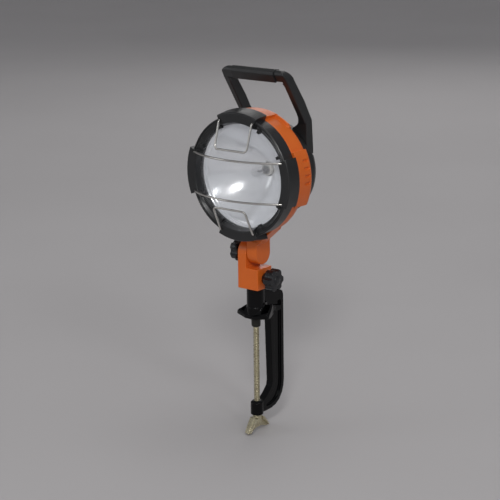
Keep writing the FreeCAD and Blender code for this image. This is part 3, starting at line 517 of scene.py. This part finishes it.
def loop_wire(name, node, s, y, dz):
    zt, zc, dx, end = s * WX, s * dz, 26.0, -29.6
    P = [(-dx, end, zt), (-dx, -37.2, zt), (-dx + 0.5, y, zc), (dx - 0.5, y, zc), (dx, -37.2, zt), (dx, end, zt)]
    pts = bent(P, [2.6, 5.5, 5.5, 2.6])
    return tube([(p.x * MM, p.y * MM, HZ + p.z * MM) for p in pts], 1.4, name, "head", "nickel", (node,))


cross_wire("wire_upper", "guard_wire_upper", 25.4)
cross_wire("wire_lower", "guard_wire_lower", -26.0)
loop_wire("loop_top", "guard_loop_top", 1, -47.5, 36.0)
loop_wire("loop_bottom", "guard_loop_bottom", -1, -52.5, 38.2)

# lens: flat pane with a ground edge
LF = -24.7
lens_prof = [(LF, 0.0), (LF, 20.0), (LF, 45.0), (LF, 66.0)] + [(LF + 0.8 - 0.8 * math.cos(t), 70.7 + 0.8 * math.sin(t)) for t in (0.0, 0.5, 1.05, 1.57)]
lens_prof += [(LF + 2.7 + 0.8 * math.sin(t), 70.7 + 0.8 * math.cos(t)) for t in (0.0, 0.5, 1.05, 1.57)] + [(LF + 3.5, 66.0), (LF + 3.5, 30.0), (LF + 3.5, 0.0)]
lathe(lens_prof, "lens_pane", "head", "lens", ("lens",), n=192, close=False)
keep("lens_gasket", "gasket")
keep("rear_gasket", "gasket")

# reflector bowl, smooth, with its straight rim and flange
foc, fy0 = 24.0, -19.4
yv = -13.0 + 64.4 ** 2 / (4 * foc)
ri = [(fy0, 66.0), (-17.0, 66.0), (-14.9, 65.95), (-14.45, 65.6), (-14.2, 64.9)]
for k in range(49):
    r = 64.4 - (64.4 - 9.2) * k / 48.0
    ri.append((yv - r * r / (4 * foc), r))
ny = ri[-1][0]
ro = [(ny + 7.6, 9.2), (ny + 7.8, 9.4), (ny + 7.8, 10.2), (ny + 7.6, 10.4)]
for k in range(49):
    r = 10.6 + (65.6 - 10.6) * k / 48.0
    ro.append((yv + 1.2 - r * r / (4 * foc) * 0.985, r + 0.2))
ro += [(-13.3, 67.0), (fy0 + 1.5, 67.2), (fy0 + 1.2, 67.6), (fy0 + 1.2, 71.4), (fy0 + 0.9, 71.7), (fy0 + 0.2, 71.7), (fy0, 71.4)]
lathe(ri + ro, "reflector_bowl", "head", "reflector", ("reflector",), n=192)

# lamp
go = rounded([(26.0, 0.0), (26.0, 6.4), (2.4, 6.4), (-1.2, 5.2), (-3.2, 3.2), (-4.2, 1.4), (-5.6, 0.9), (-5.8, 0.0)], 1.6, 5, closed=False)
gi = rounded([(-2.4, 0.0), (-1.6, 3.2), (0.4, 4.8), (2.6, 5.5), (25.0, 5.5), (25.0, 0.0)], 1.2, 5, closed=False)
lathe(go + gi, "bulb_envelope", "head", "bulb", ("lamp_glass",), n=64, close=False)
keep("lamp_filament", "filament")
soften("lamp_base", "lamp_cap", "ceramic", 0.30, it=4, keep=0.5)
soften("lamp_holder", "holder_body", "ceramic", 0.40, it=4, keep=0.5)
keep("terminal_block", "terminal")
keep("terminal_screws", "brass")

# cord inlet and switch at the back
soften("cord_gland", "gland_body", "gland", 0.24, it=3, keep=0.5)
soften("gland_nut", "gland_dome", "gland", 0.24, it=4, keep=0.5)
keep("gland_locknut", "gland")
soften("switch_body", "switch_bezel", "switch", 0.30, it=4, keep=0.4)
soften("switch_rocker", "rocker_cap", "rocker", 0.24, it=5, keep=0.5)

# ================================================================ the studio
FLOOR_Z = -0.1580


def floor():
    """Pale floor that curves up into a backdrop far behind the object."""
    m, nt, b = _nodes("studio_floor")
    tc = nt.nodes.new("ShaderNodeTexCoord")
    n = _noise(nt, tc.outputs["Object"], 2.0, 2.0)
    nt.links.new(_mix(nt, _range(nt, n, 0, 1), (0.492, 0.476, 0.478), (0.478, 0.462, 0.464)), b.inputs["Base Color"])
    b.inputs["Roughness"].default_value = 0.9
    b.inputs["Specular IOR Level"].default_value = 0.1
    bm = bmesh.new()
    R, d0 = 2.5, 6.0
    # local frame: v runs away from the camera
    a = math.radians(38.462)
    away = Vector((-math.sin(a), math.cos(a), 0))
    side = Vector((math.cos(a), math.sin(a), 0))
    prof = [(-40.0, 0.0), (d0, 0.0)]
    for k in range(1, 25):
        t = math.pi / 2 * k / 24
        prof.append((d0 + R * math.sin(t), R - R * math.cos(t)))
    prof.append((d0 + R, 7.0))
    rows = []
    for v, h in prof:
        rows.append([bm.verts.new(away * v + side * u + Vector((0, 0, FLOOR_Z + h))) for u in (-40.0, 40.0)])
    for r0, r1 in zip(rows, rows[1:]):
        bm.faces.new((r0[0], r0[1], r1[1], r1[0]))
    me = bpy.data.meshes.new("studio_floor")
    bm.to_mesh(me)
    bm.free()
    for p in me.polygons:
        p.use_smooth = True
    me.materials.append(m)
    o = bpy.data.objects.new("studio_floor", me)
    scene.collection.objects.link(o)


floor()


def area(name, loc, target, size, power, colour=(1, 1, 1), size_y=None):
    d = bpy.data.lights.new(name, "AREA")
    d.energy = power
    d.color = colour
    d.shape = "RECTANGLE" if size_y else "SQUARE"
    d.size = size
    if size_y:
        d.size_y = size_y
    o = bpy.data.objects.new(name, d)
    scene.collection.objects.link(o)
    o.location = loc
    o.rotation_euler = (Vector(target) - Vector(loc)).to_track_quat("-Z", "Y").to_euler()
    return o


area("key_front", (2.020, -2.885, 2.480), (0.0, 0.0, 0.10), 0.62, 52.0, (1.0, 0.995, 0.985))
area("key_side", (2.902, -1.479, 2.150), (0.0, 0.0, 0.10), 0.50, 11.0, (0.97, 0.985, 1.0))
area("top_soft", (0.15, 0.35, 2.6), (0.0, 0.0, 0.10), 1.5, 12.0, (1.0, 1.0, 1.0))
area("rim_back", (-1.3, 2.6, 1.6), (0.0, 0.0, 0.15), 1.6, 12.0, (1.0, 0.99, 0.98))
area("fill_left", (-2.6, -1.9, 1.1), (0.0, 0.0, 0.10), 1.5, 9.0, (0.97, 0.985, 1.0))

w = scene.world or bpy.data.worlds.new("studio")
scene.world = w
w.use_nodes = True
wt = w.node_tree
bg = wt.nodes["Background"]
tcw = wt.nodes.new("ShaderNodeTexCoord")
spw = wt.nodes.new("ShaderNodeSeparateXYZ")
wt.links.new(tcw.outputs["Generated"], spw.inputs[0])
fr = wt.nodes.new("ShaderNodeVectorMath")
fr.operation = "DOT_PRODUCT"
fr.inputs[1].default_value = (0.60, -0.78, 0.18)
wt.links.new(tcw.outputs["Generated"], fr.inputs[0])
wr = _range(wt, fr.outputs["Value"], 0.0, 1.0, -0.6, 0.9)
wt.links.new(_mix(wt, wr, (0.13, 0.13, 0.135), (0.42, 0.425, 0.44)), bg.inputs[0])
bg.inputs[1].default_value = 1.0

# camera at the photograph's viewing angle
ph, el, ro_ = math.radians(38.462), math.radians(14.528), math.radians(-0.751)
back = Vector((math.sin(ph) * math.cos(el), -math.cos(ph) * math.cos(el), math.sin(el)))
right = Vector((math.cos(ph), math.sin(ph), 0.0))
up = right.cross(-back)
r2 = right * math.cos(ro_) + up * math.sin(ro_)
u2 = -right * math.sin(ro_) + up * math.cos(ro_)
cam_data = bpy.data.cameras.new("camera")
cam_data.sensor_width = 36.0
cam_data.lens = 123.28
cam_data.clip_start = 0.05
cam_data.clip_end = 30.0
cam = bpy.data.objects.new("camera", cam_data)
scene.collection.objects.link(cam)
M = Matrix.Identity(4)
for i in range(3):
    M[i][0], M[i][1], M[i][2] = r2[i], u2[i], back[i]
M[0][3], M[1][3], M[2][3] = 1.32105, -1.67364, 0.64192
cam.matrix_world = M
scene.camera = cam
